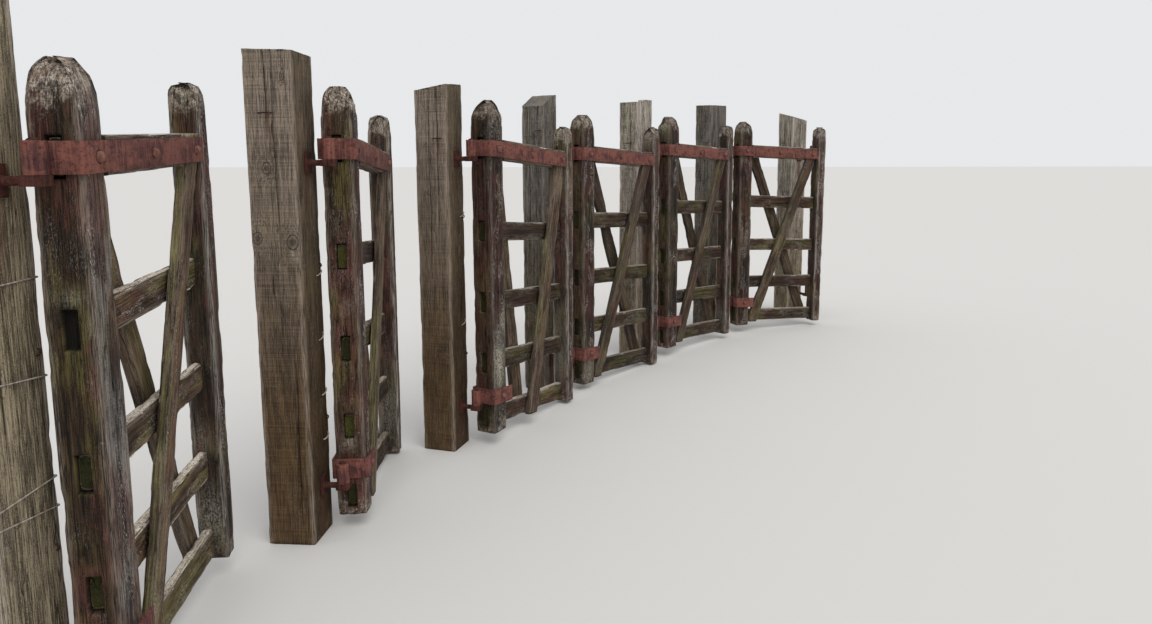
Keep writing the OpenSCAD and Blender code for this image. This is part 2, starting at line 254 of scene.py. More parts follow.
def rough(p, size, seed, octaves=3):
    """Layered noise whose coarsest lumps measure size in metres along each axis."""
    p = p / np.asarray(size, float)
    total, scale, weight = 0.0, 1.0, 0.0
    for n in range(octaves):
        total = total + scale * blend_noise(p * 2 ** n, seed + 31 * n)
        weight += scale
        scale *= 0.5
    return total / weight


# Pieces

def part(colour, share):
    return tuple(v * share for v in colour)


def add_object(name, data):
    piece = bpy.data.objects.new(name, data)
    bpy.context.scene.collection.objects.link(piece)
    return piece


def bake(piece, sharp=None):
    """Turns a piece's modifiers into a plain smooth mesh, with edges past the sharp angle kept."""
    bpy.context.view_layer.update()
    baked = bpy.data.meshes.new_from_object(piece.evaluated_get(bpy.context.evaluated_depsgraph_get()))
    piece.modifiers.clear()
    piece.data = baked
    baked.name = piece.name
    baked.polygons.foreach_set("use_smooth", [True] * len(baked.polygons))
    if sharp:
        baked.set_sharp_from_angle(angle=math.radians(sharp))


def settle(piece, body, node=None):
    """Sets what a piece rides on and hides the CAD node that it stands for."""
    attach(piece, body)
    if node:
        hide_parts(node)
    return piece


# Timbers

def section(half_a, half_b, radius, step, marks):
    """Points round a worn rectangle: places, outward directions, closeness to a corner, and the marks' indices."""
    places, normals, worn, found = [], [], [], {}
    for face, (out, way) in enumerate(zip(OUTWARD, ACROSS)):
        reach, depth = (half_b, half_a) if face % 2 else (half_a, half_b)
        run = reach - radius
        spots = [(t, None) for t in np.linspace(-run, run, max(3, int(round(2 * run / step)) + 1))]
        for number, (mark_face, offset, half_width) in enumerate(marks):
            if mark_face == face:
                spots = [s for s in spots if s[1] is not None or abs(s[0] - offset) > half_width * 1.4
                         or abs(abs(s[0]) - run) < 1e-9]
                spots += [(offset - half_width, None), (offset, number), (offset + half_width, None)]
        for t, mark in sorted(spots, key=lambda s: s[0]):
            if mark is not None:
                found[mark] = len(places)
            places.append(out * depth + way * t)
            normals.append(out)
            worn.append(math.exp(-((run - abs(t)) / WEAR_REACH) ** 2))
        for share in (1 / 4, 1 / 2, 3 / 4):
            turn = share * math.pi / 2
            normals.append(out * math.cos(turn) + way * math.sin(turn))
            places.append(out * (depth - radius) + way * run + radius * normals[-1])
            worn.append(1.0)
    return np.array(places), np.array(normals), np.array(worn), found


def stations(ends, stride, recesses, cap_rings):
    """Where a timber's rings stand and how wide they are: those of its length, and those that close its ends."""
    stops = list(np.linspace(*ends, max(3, int(round((ends[1] - ends[0]) / stride)) + 1)))
    for face, offset, low, high, half_width, depth in recesses:
        for z in (low, high):
            stops = [s for s in stops if abs(s - z) > 0.003] + [z - MORTISE_RIM, z + MORTISE_RIM]
    stops = np.array(sorted(stops))
    inner = np.linspace(0.12, 0.9, cap_rings)
    rings = np.concatenate([np.full(cap_rings, stops[0]), stops, np.full(cap_rings, stops[-1])])
    return rings, np.concatenate([inner, np.ones(len(stops)), inner[::-1]])


class Stock:
    """Gathers the timbers of one piece: mesh, grain, wear and cracks."""

    def __init__(self, place):
        self.place = place
        self.points, self.faces, self.fields, self.count = [], [], {}, 0

    def timber(self, ends, half, centre, seed, tone, ripple, wave, chip, lie="upright", narrow=None, limit=None,
               slope=None, radius=0.006, step=0.008, stride=0.013, crust=0.0, crust_run=0.12, foot_crust=0.0,
               recesses=(), splits=(), knots=(), blooms=(), stains=(), cap_rings=3, end_shade=1.0):
        """Adds one timber. Its lengths are in metres; wear is cut inwards from the worn rectangle."""
        marks = [(face, offset, SPLIT_HALF) for face, offset, low, high, depth in splits]
        for face, offset, low, high, half_width, depth in recesses:
            marks += [(face, offset + side * half_width, MORTISE_RIM) for side in (-1, 1)]
        places, normals, worn, found = section(*half, radius, step, marks)
        rings, scales = stations(ends, stride, recesses, cap_rings)
        along = np.repeat(rings[:, None], len(places), 1)
        a, b = (places[None, :, i] * scales[:, None] for i in (0, 1))
        if narrow:
            share_a, share_b = narrow(along)
            a, b = a * share_a, b * share_b
        grain = np.stack([a, b, along], -1) + np.random.default_rng(seed).uniform(-40, 40, 3)
        caps = scales[:, None] < 1
        # Relief is cut inwards only, so that a timber stays within its solid
        depth = ripple * (0.5 + 0.5 * rough(grain, RIPPLE_LUMPS, seed))
        depth += wave * (0.5 + 0.5 * rough(grain, WAVE_LUMPS, seed + 5, 2))
        bite = np.clip(rough(grain, BITE_LUMPS, seed + 9) * 1.6 + 0.05, 0, 1)
        depth += chip * worn * (0.25 + bite)
        near_top, near_foot = (np.clip(1 - d / crust_run, 0, 1) for d in (ends[1] - along, along - ends[0]))
        lumps = 0.5 + 0.5 * rough(grain, CRUST_LUMPS, seed + 13)
        depth += (crust * near_top ** 1.5 + foot_crust * near_foot ** 1.5) * (0.15 + 0.85 * lumps)
        broken = np.clip(rough(grain, BREAK_LUMPS, seed + 21, 2) * 2.4, 0, 1)
        depth += 1.3 * crust * near_top * broken
        tip = np.maximum(near_top * (crust > 0), 0.4 * near_foot * (foot_crust > 0))
        # deep marks the splits and mortise hollows, which the finish darkens as painted shade
        deep, knot = np.zeros_like(depth), np.zeros_like(depth)
        facing = [normals @ out > 0.9 for out in OUTWARD]
        across = (a, b, a, b)

        def patches(spots):
            """Soft patches: a face, a place across it and along the timber, half sizes and a strength."""
            total = np.zeros_like(depth)
            for face, spot, middle, half_across, half_along, strength in spots:
                r = ((across[face] - spot) / half_across) ** 2 + ((along - middle) / half_along) ** 2
                total = np.maximum(total, np.where(facing[face], strength * np.exp(-r), 0))
            return total

        for number, (face, spot, low, high, cut) in enumerate(splits):
            body = scales == 1
            shape = np.sin(np.pi * np.clip((rings - low) / (high - low), 0, 1)) ** 0.35
            shape = shape * ((rings > low) & (rings < high)) * body
            path = np.stack([rings * 0, rings * 0 + number, rings], -1)
            wander = SPLIT_WANDER * rough(path, SPLIT_RUN, seed + 17) * body
            i = found[number]
            for j in (i - 1, i, i + 1):
                a[:, j] += ACROSS[face][0] * wander
                b[:, j] += ACROSS[face][1] * wander
            depth[:, i] += cut * shape
            deep[:, i] = np.maximum(deep[:, i], shape)
        for face, spot, low, high, half_width, cut in recesses:
            sign = 1 if face in (FRONT, RIGHT) else -1
            inside = (np.abs(sign * across[face] - spot) < half_width) & (along > low) & (along < high)
            inside &= facing[face] & ~caps
            depth[inside], deep[inside] = cut, 1.0
        for face, spot, z, size in knots:
            r = np.hypot((across[face] - spot) / size, (along - z) / (size * 1.25))
            eye = np.where(facing[face], np.exp(-r ** 2), 0)
            knot = np.maximum(knot, eye)
            depth = depth - 0.6 * depth * eye
            # The grain bends round a knot
            grain[..., 0] += np.where(facing[face], 0.9 * size * np.exp(-(r / 1.9) ** 2), 0)
        a, b = (side - normals[:, i] * depth * ~caps for i, side in enumerate((a, b)))
        # The rings that close an end follow its cut rim
        last = len(rings) - 1
        for i in range(cap_rings):
            for rim, ring in ((cap_rings, i), (last - cap_rings, last - i)):
                a[ring], b[ring] = a[rim] * scales[ring], b[rim] * scales[ring]
        end_cut = END_CUT + (crust or END_CRUST) * 0.6 * lumps
        inwards = np.where(rings >= ends[1] - 1e-9, -1, np.where(rings <= ends[0] + 1e-9, 1, 0))[:, None]
        z = along + inwards * (end_cut * caps + 0.3 * end_cut * ~caps)
        ca, cb = centre(along) if callable(centre) else centre
        p = np.stack([a + ca, b + cb, z] if lie == "upright" else [z, a + ca, b + cb], -1)
        if slope:
            p[..., 2] += slope(p[..., 0])
        if limit:
            p = limit(p, lumps)
        # end_shade darkens a timber's ends: painted shade where an end sits back in a mortise
        end_tone = (end_shade * (0.4 + 1.2 * tone) - 0.4) / 1.2
        # Each field on the rings, at the foot's middle and at the head's
        self.add(p, grain, {
            "worn": (worn * ~caps, 0.3, 0.3), "tip": (tip, tip[0, 0], tip[-1, 0]), "deep": (deep, 0, 0),
            "knot": (knot, 0, 0), "bloom": (patches(blooms), 0, 0), "stain": (patches(stains), 0, 0),
            "front": (np.clip(-normals[:, 1 if lie == "upright" else 0], 0, 1), 0, 0),
            "tone": (np.where(caps, end_tone, tone), end_tone, end_tone), "cut_end": (caps * 1.0, 1, 1)})

    def add(self, p, grain, fields):
        """Closes the rings of points to a tube and keeps its faces and fields."""
        def with_ends(values):
            return np.vstack([values.reshape(-1, 3), values[0].mean(0), values[-1].mean(0)])
        n, m = p.shape[:2]
        index = np.arange(n * m).reshape(n, m) + self.count
        after = np.roll(index, -1, 1)
        self.faces += np.stack([index[:-1], after[:-1], after[1:], index[1:]], -1).reshape(-1, 4).tolist()
        foot, head = self.count + n * m, self.count + n * m + 1
        for hub, one, two in ((foot, after[0], index[0]), (head, index[-1], after[-1])):
            self.faces += [[hub, int(i), int(j)] for i, j in zip(one, two)]
        self.points.append(self.place(with_ends(p)))
        self.fields.setdefault("grain", []).append(with_ends(grain))
        for name, (values, *ends) in fields.items():
            self.fields.setdefault(name, []).append(np.append(np.broadcast_to(values, (n, m)), ends))
        self.count += n * m + 2

    def dress(self, name, finish, node, body):
        """Makes the piece's object from its timbers, which stands for the CAD node."""
        mesh = bpy.data.meshes.new(name)
        mesh.from_pydata(np.vstack(self.points).tolist(), [], self.faces)
        for field, values in self.fields.items():
            kind, key = ("FLOAT_VECTOR", "vector") if field == "grain" else ("FLOAT", "value")
            layer = mesh.attributes.new(field, kind, "POINT")
            layer.data.foreach_set(key, np.concatenate(values).astype(np.float32).ravel())
        mesh.polygons.foreach_set("use_smooth", [True] * len(mesh.polygons))
        mesh.materials.append(materials()[finish])
        mesh.update()
        return settle(add_object(name, mesh), body, node)


def post_top(k):
    """A limit that trims a post to its tilted, chamfered or stepped top."""
    h = POST_H - POST_SHORT[k - 1]
    tilt_x, tilt_y = (math.radians(v) for v in TOP_TILTS[k - 1])
    w = post_width(k)

    def limit(p, lumps):
        x, y = p[..., 0], p[..., 1] - hook_reach(k) - w / 2
        top = h - x * math.tan(tilt_y) + y * math.tan(tilt_x) / math.cos(tilt_y)
        if k == CHAMFERED:
            top = np.minimum(top, h - CHAMFER_RISE * np.clip((CHAMFER_RUN - x - w / 2) / CHAMFER_RUN, 0, 1))
        if k == STEPPED:
            low = (x < w * STEP_AT[0]) | (y > w * STEP_AT[1])
            top = np.where(low, np.minimum(top, h - STEP_DEPTH), top)
        p[..., 2] = np.minimum(p[..., 2], top - 0.001 - 0.005 * lumps)
        return p
    return limit


# Materials

class Nodes:
    """Adds nodes to a tree."""

    def __init__(self, tree):
        self.tree = tree

    def node(self, kind, *inputs, **settings):
        """One node. An input is a socket's name or number with a value, or with the socket that feeds it."""
        made = self.tree.nodes.new(kind)
        for key, value in settings.items():
            setattr(made, key, value)
        for slot, value in inputs:
            if isinstance(value, bpy.types.NodeSocket):
                self.tree.links.new(value, made.inputs[slot])
            elif value is not None:
                made.inputs[slot].default_value = value
        return made

    def out(self, kind, *inputs, **settings):
        return self.node(kind, *inputs, **settings).outputs[0]

    def math(self, operation, *values):
        return self.out("ShaderNodeMath", *enumerate(values), operation=operation)

    def times(self, first, *others):
        for value in others:
            first = self.math("MULTIPLY", first, value)
        return first

    def plus(self, first, second):
        return self.math("ADD", first, second)


class Finish(Nodes):
    """Short calls that build one material's nodes."""

    def __init__(self, name):
        self.material = bpy.data.materials.new(name)
        self.material.use_nodes = True
        super().__init__(self.material.node_tree)
        self.shader = self.tree.nodes["Principled BSDF"]

    def field(self, name):
        made = self.node("ShaderNodeAttribute", attribute_type="GEOMETRY", attribute_name=name)
        return made.outputs["Vector" if name == "grain" else "Fac"]

    def place(self):
        return self.node("ShaderNodeTexCoord").outputs["Object"]

    def axes(self, vector):
        return self.node("ShaderNodeSeparateXYZ", (0, vector)).outputs

    def noise(self, vector, scale, detail=3.0, harsh=0.55, warp=0.0):
        stretched = self.out("ShaderNodeVectorMath", (0, vector), (1, scale), operation="MULTIPLY")
        return self.out("ShaderNodeTexNoise", ("Vector", stretched), ("Scale", 1.0), ("Detail", detail),
                        ("Roughness", harsh), ("Distortion", warp))

    def span(self, value, low, high, to_low=0.0, to_high=1.0):
        return self.out("ShaderNodeMapRange", ("Value", value), ("From Min", low), ("From Max", high),
                        ("To Min", to_low), ("To Max", to_high), clamp=True, interpolation_type="SMOOTHSTEP")

    def swing(self, value, amount, base):
        """The base plus a share of what the value swings about a half."""
        return self.math("MULTIPLY_ADD", self.math("SUBTRACT", value, 0.5), amount, base)

    def line(self, value, at, width):
        """A thin line where the value passes a level."""
        return self.span(self.math("ABSOLUTE", self.math("SUBTRACT", value, at)), 0.0, width, 1, 0)

    def mix(self, amount, a, b, kind="MIX"):
        colours = [v if isinstance(v, bpy.types.NodeSocket) else (*v[:3], 1) for v in (a, b)]
        return self.node("ShaderNodeMix", (0, amount), (6, colours[0]), (7, colours[1]), data_type="RGBA",
                         blend_type=kind).outputs[2]

    def finish(self, colour, roughness, height, distance):
        bump = self.out("ShaderNodeBump", ("Strength", 1.0), ("Distance", distance), ("Height", height))
        for slot, value in (("Base Color", colour), ("Roughness", roughness), ("Normal", bump)):
            self.tree.links.new(value, self.shader.inputs[slot])
        self.shader.inputs["Specular IOR Level"].default_value = 0.25
        return self.material


def timber_finish(name, side, front, look, saw=0.0, rings=0.3, flake=0.4, side_flake=0.3, green=0.3, black=0.3,
                  red=0.0, low=None, weights=(1.5, 1.2, 1.1, 1.1), cracks=0.65, pale_top=0.0):
    """Weathered timber that reads its grain, wear and ends from the mesh. Each face has a dark and a light."""
    f = Finish(name)
    g, tone, deep, tip, facing, knot = map(f.field, ("grain", "tone", "deep", "tip", "front", "knot"))
    up = f.axes(f.node("ShaderNodeNewGeometry").outputs["Normal"])[2]

    def dark(share):
        return part(side[0], share)

    right, back = f.axes(g)[:2]
    across = f.math("MULTIPLY_ADD", f.noise(g, (5, 5, 1.1), 2), 0.075, right)
    radial = f.math("SQRT", f.plus(f.times(across, across), f.times(back, back)))
    ring = f.math("MULTIPLY_ADD", f.math("SINE", f.times(radial, 2 * math.pi / 0.0075)), 0.5, 0.5)
    fibre, streak = f.noise(g, (360, 360, 12), 3, 0.65), f.noise(g, (80, 80, 3), 3, 0.6)
    patch, grit = f.noise(g, (10, 10, 5), 4, 0.6), f.noise(g, (420, 420, 300), 2, 0.6)
    shade = 0.5
    for value, weight in zip((fibre, streak, patch, grit, ring), (*weights, rings)):
        shade = f.swing(value, weight, shade)
    if saw:
        marks = f.math("SUBTRACT", f.noise(g, (3.5, 3.5, 280), 2, 0.6, 0.15), 0.5)
        kept = f.times(marks, f.span(facing, 0.3, 0.8, saw, 0.25 * saw))
        shade = f.plus(shade, kept)
    colour = f.mix(f.span(shade, 0.16, 0.84), f.mix(facing, side[0], front[0]), f.mix(facing, side[1], front[1]))
    if red:
        where_red = f.span(f.noise(g, (7, 7, 3.2), 4, 0.6), 0.43, 0.56, 0, red)
        colour = f.mix(where_red, colour, f.mix(f.span(shade, 0.2, 0.8), (0.018, 0.006, 0.004), look["red"]))
    # Algae keeps to patches and to faces that look up
    damp = f.math("MULTIPLY_ADD", up, 0.10, f.noise(g, (8, 8, 3), 4, 0.6))
    wet = f.times(f.span(damp, 0.47, 0.62, 0, green), f.span(facing, 0.2, 0.9, 1.0, 0.5))
    colour = f.mix(wet, colour, f.mix(f.span(shade, 0.25, 0.8), part(look["algae"], 0.3), look["algae"]))
    if low:
        near_ground = f.span(f.axes(f.place())[2], 0.35, 1.45, 1, 0)
        colour = f.mix(near_ground, colour, f.mix(1.0, colour, low, "MULTIPLY"))
    blotch = f.span(f.noise(g, (24, 24, 10), 4, 0.68), 0.55, 0.66, 0, black)
    colour = f.mix(blotch, colour, dark(0.45))
    fleck = f.span(f.noise(g, (380, 380, 120), 3, 0.7), 0.52, 0.61)
    where = f.span(f.noise(g, (17, 17, 6), 4, 0.65), 0.48, 0.61)
    pale = f.times(fleck, where, f.span(facing, 0.2, 0.8, side_flake, flake))
    colour = f.mix(pale, colour, look["flake"])
    colour = f.mix(f.times(f.field("worn"), f.span(fibre, 0.38, 0.60, 0.05, 0.75)), colour, look["edge"])
    # Lichen on tops and in patches, rust below the irons
    crumbs = f.noise(g, (170, 170, 130), 4, 0.72)
    if pale_top:
        lit = f.times(f.span(up, 0.35, 0.75), f.span(crumbs, 0.36, 0.54, 0.1, pale_top))
        colour = f.mix(lit, colour, look["crust"])
    bloom = f.field("bloom")
    colour = f.mix(f.times(bloom, f.span(crumbs, 0.41, 0.56, 0.08, 0.9)), colour, look["bloom"])
    colour = f.mix(f.times(f.field("stain"), f.span(streak, 0.35, 0.62, 0.35, 1.0)), colour, look["stain"])
    # Grey crust and soot on a decayed head
    ragged = f.swing(f.noise(g, (28, 28, 22), 5, 0.7), 1.6, tip)
    bare = f.times(f.span(ragged, 0.18, 0.58), f.span(crumbs, 0.40, 0.58, 0.15, 0.95))
    scabs = f.span(f.noise(g, (60, 60, 40), 5, 0.75), 0.40, 0.58)
    colour = f.mix(bare, colour, f.mix(scabs, look["scab"], look["crust"]))
    soot = f.times(f.span(tip, 0.0, 0.5), f.span(f.noise(g, (34, 34, 20), 4, 0.72), 0.53, 0.64, 0, 0.7))
    colour = f.mix(soot, colour, dark(0.5))
    # Knots, cracks, painted shade in the splits and hollows, and end grain
    colour = f.mix(f.times(f.span(knot, 0.60, 0.85), 0.7), colour, dark(0.5))
    colour = f.mix(f.times(f.line(knot, 0.42, 0.12), 0.9), colour, dark(0.4))
    split, check = f.line(f.noise(g, (36, 36, 1.5), 2, 0.5), 0.5, 0.010), f.noise(g, (130, 130, 6), 2, 0.5)
    crack = f.math("MAXIMUM", split, f.times(f.line(check, 0.5, 0.018), 0.40))
    colour = f.mix(f.times(crack, cracks), colour, dark(0.35))
    # Splits and mortise hollows go nearly black: painted shade in the recesses
    colour = f.mix(f.times(deep, 0.92), colour, dark(0.2))
    end_tint = f.mix(f.span(patch, 0.42, 0.56), look["end"], part(look["end"], 0.3))
    end_colour = f.mix(f.span(grit, 0.3, 0.7), end_tint, look["end_pale"])
    colour = f.mix(f.times(f.field("cut_end"), 0.92), colour, end_colour)
    colour = f.out("ShaderNodeVectorMath", (0, colour), (3, f.math("MULTIPLY_ADD", tone, 1.2, 0.4)),
                   operation="SCALE")
    height = f.math("MULTIPLY_ADD", fibre, 0.6, f.times(ring, 0.15))
    height = f.math("SUBTRACT", f.plus(height, f.times(streak, 0.5)), f.times(crack, 1.2))
    height = f.plus(f.plus(height, f.times(pale, 0.3)), f.times(f.math("MAXIMUM", bloom, tip), crumbs))
    if saw:
        height = f.plus(height, f.times(kept, 1.0))
    return f.finish(colour, f.span(patch, 0.3, 0.7, 0.82, 0.95), height, 0.0035)


def rust_finish(name, base, bright, dull, scale=1.0):
    """Old iron under a matt skin of rust, with darker patches and rubbed brighter places."""
    f = Finish(name)
    p = f.place()
    patch = f.noise(p, (13 * scale, 13 * scale, 18 * scale), 4, 0.65)
    grit, flecks = f.noise(p, (300, 300, 300), 4, 0.65), f.noise(p, (75, 75, 100), 4, 0.7)
    runs = f.noise(p, (120, 120, 11), 3, 0.6)
    colour = f.mix(f.span(patch, 0.42, 0.58), base, dull)
    colour = f.mix(f.span(runs, 0.40, 0.66, 0, 0.55), colour, bright)
    colour = f.mix(f.span(flecks, 0.52, 0.64, 0, 0.65), colour, part(dull, 0.4))
    colour = f.mix(f.span(grit, 0.52, 0.68, 0, 0.55), colour, part(base, 0.4))
    height = f.math("MULTIPLY_ADD", grit, 0.6, f.times(flecks, 0.9))
    return f.finish(colour, f.span(patch, 0.3, 0.7, 0.72, 0.9), height, 0.0018)


# Fastenings

class PointTree(Nodes):
    """Geometry nodes on a piece's own points, with named sizes."""

    def __init__(self, name, **sizes):
        super().__init__(bpy.data.node_groups.new(name, "GeometryNodeTree"))
        add_socket = self.tree.interface.new_socket
        for way in ("INPUT", "OUTPUT"):
            add_socket("Geometry", in_out=way, socket_type="NodeSocketGeometry")
        for label, value in sizes.items():
            add_socket(label, in_out="INPUT", socket_type="NodeSocketFloat").default_value = value
        self.start = self.node("NodeGroupInput").outputs

    def sweep(self, curve, capped):
        """Round wire along a curve."""
        radius = self.times(self.start["Wire"], 0.5)
        ring = self.out("GeometryNodeCurvePrimitiveCircle", ("Resolution", 8), ("Radius", radius))
        return self.out("GeometryNodeCurveToMesh", ("Curve", curve), ("Profile Curve", ring), ("Fill Caps", capped))

    def finish(self, shape, material):
        real = self.out("GeometryNodeRealizeInstances", (0, shape))
        self.node("NodeGroupOutput", (0, self.out("GeometryNodeSetMaterial", (0, real), ("Material", material))))
        return self.tree


def fastening_tree(name, kind, material):
    """Sets one fastening on every point, turned by the point's own angles."""
    t = PointTree(name, Width=0.028, Rise=0.010, Wire=0.0035)
    width, rise = t.start["Width"], t.start["Rise"]
    half = t.times(width, 0.5)

    def peg(sides, across, tall):
        return t.out("GeometryNodeMeshCylinder", ("Vertices", sides), ("Radius", t.times(width, across)),
                     ("Depth", t.times(rise, tall)), fill_type="TRIANGLE_FAN")
    if kind == "dome":
        ball = t.out("GeometryNodeMeshUVSphere", ("Segments", 14), ("Rings", 8), ("Radius", 1.0))
        size = t.out("ShaderNodeCombineXYZ", (0, half), (1, half), (2, rise))
        shape = t.out("GeometryNodeTransform", ("Geometry", ball), ("Scale", size))
    elif kind == "staple":
        shape = t.out("GeometryNodeCurveArc", ("Resolution", 9), ("Radius", half), ("Sweep Angle", math.pi),
                      mode="RADIUS")
        size = t.out("ShaderNodeCombineXYZ", (0, 1.0), (1, t.math("DIVIDE", rise, half)), (2, 1.0))
        shape = t.out("GeometryNodeTransform", ("Geometry", shape), ("Scale", size))
        shape = t.out("GeometryNodeTransform", ("Geometry", shape), ("Rotation", (math.pi / 2, 0, 0)))
        shape = t.sweep(shape, True)
    else:
        # A square plate, and for a nut the bolt's end in it
        shank = peg(10, 0.26, 1.7) if kind == "nut" else None
        shape = t.out("GeometryNodeJoinGeometry", (0, peg(4, 0.7071, 1.0)), (0, shank))
    turn = t.out("GeometryNodeInputNamedAttribute", ("Name", "turn"), data_type="FLOAT_VECTOR")
    spread = t.out("GeometryNodeInstanceOnPoints", ("Points", t.start[0]), ("Instance", shape), ("Rotation", turn))
    return t.finish(spread, material)


def grow(name, seeds, tree, sharp, body, slot, **sizes):
    """Runs a tree on a seed mesh, with its sizes, and keeps the result as a piece."""
    piece = add_object(name, seeds)
    modifier = piece.modifiers.new("Fastenings", "NODES")
    modifier.node_group = tree
    for item in tree.interface.items_tree:
        if item.name in sizes:
            modifier[item.identifier] = sizes[item.name]
    bake(piece, sharp)
    return settle(piece, body)


def fasten(name, tree, spots, body, slot, width, rise, wire=0.0):
    """Sets one fastening on each spot: a place, the way it faces and its spin."""
    seeds = bpy.data.meshes.new(name)
    seeds.from_pydata([tuple(p) for p, way, spin in spots], [], [])
    turns = seeds.attributes.new("turn", "FLOAT_VECTOR", "POINT")
    for point, (p, way, spin) in zip(turns.data, spots):
        rotation = Vector(way).to_track_quat("Z", "Y").to_matrix() @ Matrix.Rotation(spin, 3, "Z")
        point.vector = rotation.to_euler()
    return grow(name, seeds, tree, None if wire else SHARP_BOLT, body, slot, Width=width, Rise=rise, Wire=wire)


def wrap(name, loops, wire, material, body, slot):
    """Closed wires through rings of places."""
    tree = PointTree("Wrapped wires", Wire=wire)
    curve = tree.out("GeometryNodeMeshToCurve", (0, tree.start[0]))
    points, edges = [], []
    for loop in loops:
        first, count = len(points), len(loop)
        points += [tuple(p) for p in loop]
        edges += [(first + i, first + (i + 1) % count) for i in range(count)]
    path = bpy.data.meshes.new(name)
    path.from_pydata(points, edges, [])
    return grow(name, path, tree.finish(tree.sweep(curve, False), material), None, body, slot, Wire=wire)


def iron_copy(node, name, finish, body, bevel):
    """A worn copy of a CAD iron: merged, its edges rounded, standing for the node."""
    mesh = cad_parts[node].data.copy()
    mesh.name = name
    mesh.materials.clear()
    work = bmesh.new()
    work.from_mesh(mesh)
    bmesh.ops.remove_doubles(work, verts=work.verts, dist=MERGE)
    bmesh.ops.dissolve_limit(work, angle_limit=math.radians(1.0), verts=work.verts, edges=work.edges)
    work.to_mesh(mesh)
    work.free()
    mesh.materials.append(materials()[finish])
    piece = add_object(name, mesh)
    round_off = piece.modifiers.new("Worn edges", "BEVEL")
    round_off.width, round_off.segments, round_off.limit_method = bevel, 2, "ANGLE"
    round_off.angle_limit = math.radians(50)
    bake(piece, SHARP_IRON)
    return settle(piece, body, node)


# What a user would change

def length_prop(name, description, default, low, high):
    return FloatProperty(name=name, description=description, unit="LENGTH", default=default, min=low, max=high)


def colour_prop(name, description, *default):
    return FloatVectorProperty(name=name, description=description, subtype="COLOR", size=3, min=0, max=1,
                               default=default)


class GateRowTimberSizes(bpy.types.PropertyGroup):
    """How deep the weather has worked into the timbers."""
    post_arris: length_prop("Post arris", "Worn radius of a post's corners", POST_ARRIS, 0.002, 0.015)
    grain_relief: length_prop("Grain relief", "Depth of the raised grain", 0.0016, 0, 0.005)
    chip_depth: length_prop("Chips", "Depth of the chips along edges", 0.007, 0, 0.02)
    head_wear: length_prop("Head wear", "Depth of the decay at the stiles' heads", 0.016, 0, 0.03)
    split_depth: length_prop("Splits", "Depth of the long drying splits", 0.012, 0, 0.03)
    mortise_hollow: length_prop("Mortise hollow", "Depth of an open mortise end", 0.020, 0.004, 0.04)


class GateRowIronSizes(bpy.types.PropertyGroup):
    """Sizes of the ironwork's small parts."""
    bolt_width: length_prop("Bolt head", "Width of a domed bolt head", 0.029, 0.01, 0.05)
    bolt_rise: length_prop("Bolt rise", "Height of a domed bolt head", 0.014, 0.002, 0.02)
    nut_width: length_prop("Nut", "Width of a square nut", 0.024, 0.01, 0.04)
    staple_width: length_prop("Staple", "Width of a fence staple", 0.046, 0.006, 0.06)
    staple_wire: length_prop("Staple wire", "Thickness of a staple's wire", 0.0050, 0.002, 0.008)
    edge_round: length_prop("Iron edges", "Rounding of the irons' worn edges", 0.0018, 0.0002, 0.004)


class GateRowColours(bpy.types.PropertyGroup):
    """The finishes' main colours, as their light grain."""
    post: colour_prop("Post timber", "Near faces of the sawn posts", 0.330, 0.262, 0.205)
    # The post fronts' colour is darker than the near faces': painted shade on the face turned from the light
    post_front: colour_prop("Post fronts", "Front faces of the sawn posts", 0.200, 0.148, 0.095)
    post_one: colour_prop("Split post", "All faces of the first post", 0.330, 0.270, 0.180)
    post_far: colour_prop("Grey post timber", "Near faces of the greyer posts", 0.330, 0.290, 0.250)
    stile: colour_prop("Hanging stiles", "Side faces of the hanging stiles", 0.078, 0.046, 0.024)
    stile_front: colour_prop("Stile fronts", "Front faces of the hanging stiles", 0.090, 0.062, 0.048)
    stile_grey: colour_prop("Grey stile", "Front face of the first gate's hanging stile", 0.208, 0.184, 0.164)
    closing: colour_prop("Closing stiles", "Side faces of the closing stiles", 0.054, 0.036, 0.022)
    closing_front: colour_prop("Closing fronts", "Front faces of the closing stiles", 0.100, 0.062, 0.046)
    rail: colour_prop("Rails", "Front faces of the rails", 0.056, 0.035, 0.022)
    brace: colour_prop("Braces", "Front faces of the braces", 0.185, 0.132, 0.082)
    lichen: colour_prop("Lichen", "Grey crust on heads and faces", 0.430, 0.378, 0.318)
    algae: colour_prop("Algae", "Green film on damp timber", 0.190, 0.178, 0.050)
    rust: colour_prop("Rust", "Red rust of the straps", 0.165, 0.060, 0.045)


class GateRowStageSizes(bpy.types.PropertyGroup):
    """The floor and the light."""
    floor_reach: FloatProperty(name="Floor", description="Reach of the floor", unit="LENGTH", default=90.0, min=10)
    daylight: FloatProperty(name="Daylight", description="Strength of the even light", default=0.80, min=0, max=2)
    lamp: FloatProperty(name="Lamp", description="Strength of the soft lamp", default=1.3, min=0, max=5)


MATERIALS = {}


